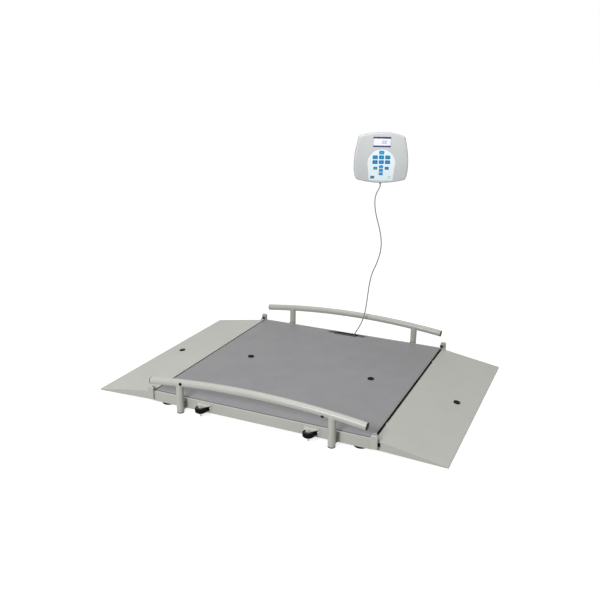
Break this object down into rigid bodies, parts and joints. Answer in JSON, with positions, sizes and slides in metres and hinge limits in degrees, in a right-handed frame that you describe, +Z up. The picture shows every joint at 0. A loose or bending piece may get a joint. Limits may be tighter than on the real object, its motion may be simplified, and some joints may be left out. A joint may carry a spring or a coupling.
{
  "type": "wheelchair scale",
  "caption": "Low weighing platform with two folding ramps, arched side rails, transport wheels and a corded wall display with keys.",
  "frame": {"origin": "centre of the overall box, on the floor", "axes": "+X the way a wheelchair rolls over the platform, +Y towards the wall with the display, +Z up"},
  "size_m": [1.59, 1.1764, 1.1157],
  "materials": {
    "frame_paint": "satin powder coat",
    "zinc_steel": "zinc plated",
    "black_rubber": "matt",
    "cell_aluminium": "machined",
    "black_plastic": "fine grain",
    "mat_rubber": "ribbed sheet",
    "grey_plastic": "fine grain",
    "display_glass": "clear acrylic over a backlit display",
    "pad_film": "printed film",
    "key_blue": "satin",
    "key_teal": "satin",
    "board_laminate": "solder mask",
    "cord_sheath": "soft sheath"
  },
  "bodies": {
    "root": {"side_channel_front": "frame_paint", "side_channel_rear": "frame_paint", "end_channel_left": "frame_paint", "end_channel_right": "frame_paint", "cross_channel": "frame_paint", "weigh_deck": "frame_paint", "handrail_front": "frame_paint", "handrail_rear": "frame_paint", "wheel_bracket_left": "frame_paint", "wheel_bracket_right": "frame_paint", "hinge_pin_front_left": "zinc_steel", "hinge_pin_front_right": "zinc_steel", "hinge_pin_rear_left": "zinc_steel", "hinge_pin_rear_right": "zinc_steel", "axle_bolt_left": "zinc_steel", "axle_bolt_right": "zinc_steel", "wall_plate": "zinc_steel", "deck_bumper_left": "black_rubber", "deck_bumper_right": "black_rubber", "load_cell_front_left": "cell_aluminium", "load_cell_front_right": "cell_aluminium", "load_cell_rear_left": "cell_aluminium", "load_cell_rear_right": "cell_aluminium", "grip_tray": "black_plastic", "platform_gland": "black_plastic", "head_gland": "black_plastic", "rail_cap_front_left": "black_plastic", "rail_cap_front_right": "black_plastic", "rail_cap_rear_left": "black_plastic", "rail_cap_rear_right": "black_plastic", "deck_mat": "mat_rubber", "head_front_shell": "grey_plastic", "head_back_shell": "grey_plastic", "summing_box": "grey_plastic", "display_window": "display_glass", "keypad_panel": "pad_film", "head_board": "board_laminate", "signal_cord": "cord_sheath"},
    "ramp_left": {"ramp_left": "frame_paint", "ramp_bumper_left": "black_rubber"},
    "ramp_right": {"ramp_right": "frame_paint", "ramp_bumper_right": "black_rubber"},
    "wheel_left": {"wheel_left": "black_rubber"},
    "wheel_right": {"wheel_right": "black_rubber"},
    "foot_front_left": {"foot_front_left": "black_rubber"},
    "foot_front_right": {"foot_front_right": "black_rubber"},
    "foot_rear_left": {"foot_rear_left": "black_rubber"},
    "foot_rear_right": {"foot_rear_right": "black_rubber"},
    "key_top": {"key_top": "key_blue"},
    "key_upper_left": {"key_upper_left": "key_blue"},
    "key_upper_centre": {"key_upper_centre": "key_blue"},
    "key_upper_right": {"key_upper_right": "key_blue"},
    "key_middle_left": {"key_middle_left": "key_blue"},
    "key_middle_centre": {"key_middle_centre": "key_blue"},
    "key_middle_right": {"key_middle_right": "key_blue"},
    "key_lower_first": {"key_lower_first": "key_blue"},
    "key_lower_second": {"key_lower_second": "key_blue"},
    "key_lower_third": {"key_lower_third": "key_blue"},
    "key_side_left": {"key_side_left": "key_teal"},
    "key_side_right": {"key_side_right": "key_blue"}
  },
  "joints": [
    {"name": "ramp_left_fold", "type": "hinge", "parent": "root", "child": "ramp_left", "pos_m": [-0.506, 0, 0.067], "axis": [0, 1, 0], "range_deg": [0, 193.4]},
    {"name": "ramp_right_fold", "type": "hinge", "parent": "root", "child": "ramp_right", "pos_m": [0.506, 0, 0.067], "axis": [0, -1, 0], "range_deg": [0, 193.4]},
    {"name": "wheel_left_spin", "type": "hinge", "parent": "root", "child": "wheel_left", "pos_m": [-0.246, -0.564, 0.033], "axis": [0, 0, 1], "continuous": true},
    {"name": "wheel_right_spin", "type": "hinge", "parent": "root", "child": "wheel_right", "pos_m": [0.246, -0.564, 0.033], "axis": [0, 0, 1], "continuous": true},
    {"name": "foot_front_left_turn", "type": "hinge", "parent": "root", "child": "foot_front_left", "pos_m": [-0.444, -0.505, 0.004], "axis": [0, 0, 1], "continuous": true},
    {"name": "foot_front_right_turn", "type": "hinge", "parent": "root", "child": "foot_front_right", "pos_m": [0.444, -0.505, 0.004], "axis": [0, 0, 1], "continuous": true},
    {"name": "foot_rear_left_turn", "type": "hinge", "parent": "root", "child": "foot_rear_left", "pos_m": [-0.444, 0.505, 0.004], "axis": [0, 0, 1], "continuous": true},
    {"name": "foot_rear_right_turn", "type": "hinge", "parent": "root", "child": "foot_rear_right", "pos_m": [0.444, 0.505, 0.004], "axis": [0, 0, 1], "continuous": true},
    {"name": "key_top_press", "type": "slide", "parent": "root", "child": "key_top", "axis": [-0.4067, 0.9135, 0], "range_m": [0, 0.0008], "stiffness_N_per_m": 900},
    {"name": "key_upper_left_press", "type": "slide", "parent": "root", "child": "key_upper_left", "axis": [-0.4067, 0.9135, 0], "range_m": [0, 0.0008], "stiffness_N_per_m": 900},
    {"name": "key_upper_centre_press", "type": "slide", "parent": "root", "child": "key_upper_centre", "axis": [-0.4067, 0.9135, 0], "range_m": [0, 0.0008], "stiffness_N_per_m": 900},
    {"name": "key_upper_right_press", "type": "slide", "parent": "root", "child": "key_upper_right", "axis": [-0.4067, 0.9135, 0], "range_m": [0, 0.0008], "stiffness_N_per_m": 900},
    {"name": "key_middle_left_press", "type": "slide", "parent": "root", "child": "key_middle_left", "axis": [-0.4067, 0.9135, 0], "range_m": [0, 0.0008], "stiffness_N_per_m": 900},
    {"name": "key_middle_centre_press", "type": "slide", "parent": "root", "child": "key_middle_centre", "axis": [-0.4067, 0.9135, 0], "range_m": [0, 0.0008], "stiffness_N_per_m": 900},
    {"name": "key_middle_right_press", "type": "slide", "parent": "root", "child": "key_middle_right", "axis": [-0.4067, 0.9135, 0], "range_m": [0, 0.0008], "stiffness_N_per_m": 900},
    {"name": "key_lower_first_press", "type": "slide", "parent": "root", "child": "key_lower_first", "axis": [-0.4067, 0.9135, 0], "range_m": [0, 0.0008], "stiffness_N_per_m": 900},
    {"name": "key_lower_second_press", "type": "slide", "parent": "root", "child": "key_lower_second", "axis": [-0.4067, 0.9135, 0], "range_m": [0, 0.0008], "stiffness_N_per_m": 900},
    {"name": "key_lower_third_press", "type": "slide", "parent": "root", "child": "key_lower_third", "axis": [-0.4067, 0.9135, 0], "range_m": [0, 0.0008], "stiffness_N_per_m": 900},
    {"name": "key_side_left_press", "type": "slide", "parent": "root", "child": "key_side_left", "axis": [-0.4067, 0.9135, 0], "range_m": [0, 0.0008], "stiffness_N_per_m": 900},
    {"name": "key_side_right_press", "type": "slide", "parent": "root", "child": "key_side_right", "axis": [-0.4067, 0.9135, 0], "range_m": [0, 0.0008], "stiffness_N_per_m": 900}
  ]
}
